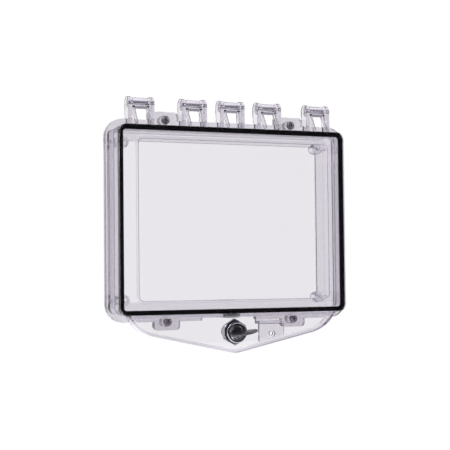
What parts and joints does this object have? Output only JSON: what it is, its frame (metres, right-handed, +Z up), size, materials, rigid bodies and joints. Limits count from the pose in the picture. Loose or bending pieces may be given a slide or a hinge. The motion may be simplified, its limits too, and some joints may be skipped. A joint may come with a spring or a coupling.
{
  "type": "thermostat lock box",
  "caption": "Clear polycarbonate box that fits over a wall thermostat, with an open back, a cover hinged along the top, a black seal and a cam lock with its key below.",
  "frame": {"origin": "middle of the wall face, at the centre of the four wall screw holes", "axes": "+X to the right as seen from the front, +Z up, the cover and lock face -Y and the wall is behind at y = 0"},
  "size_m": [0.2628, 0.0714, 0.2535],
  "materials": {
    "clear_polycarbonate": "clear, polished moulding with a faint lavender grey tint",
    "black_rubber": "matt black",
    "stainless_steel": "drawn, satin",
    "dark_steel": "dark, satin",
    "zinc_plated_steel": "zinc plated, satin",
    "brass": "turned",
    "bright_chrome": "bright chrome",
    "nickel_silver": "nickel, bright"
  },
  "bodies": {
    "case": {"back_box": "clear_polycarbonate", "frame": "clear_polycarbonate", "seal_tab": "clear_polycarbonate", "cover_seal": "black_rubber", "hinge_pin_1": "stainless_steel", "hinge_pin_2": "stainless_steel", "hinge_pin_3": "stainless_steel", "hinge_pin_4": "stainless_steel", "hinge_pin_5": "stainless_steel", "case_screws": "dark_steel", "case_inserts": "brass", "strike_clip": "zinc_plated_steel"},
    "cover": {"cover": "clear_polycarbonate", "lock_body": "bright_chrome", "lock_ring": "black_rubber", "lock_nut": "bright_chrome"},
    "cylinder": {"lock_cylinder": "bright_chrome", "lock_wafers": "brass", "lock_cam": "zinc_plated_steel", "cam_washer": "zinc_plated_steel", "cam_screw": "zinc_plated_steel"},
    "key": {"key": "nickel_silver"}
  },
  "joints": [
    {"name": "cover_hinge", "type": "hinge", "parent": "case", "child": "cover", "pos_m": [0, -0.0285, 0.115], "axis": [-1, 0, 0], "range_deg": [0, 165]},
    {"name": "lock_turn", "type": "hinge", "parent": "cover", "child": "cylinder", "pos_m": [0, -0.0412, -0.11151], "axis": [0, -1, 0], "range_deg": [-11, 79]},
    {"name": "key_pull", "type": "slide", "parent": "cylinder", "child": "key", "axis": [0, -1, 0], "range_m": [0, 0.02]}
  ]
}
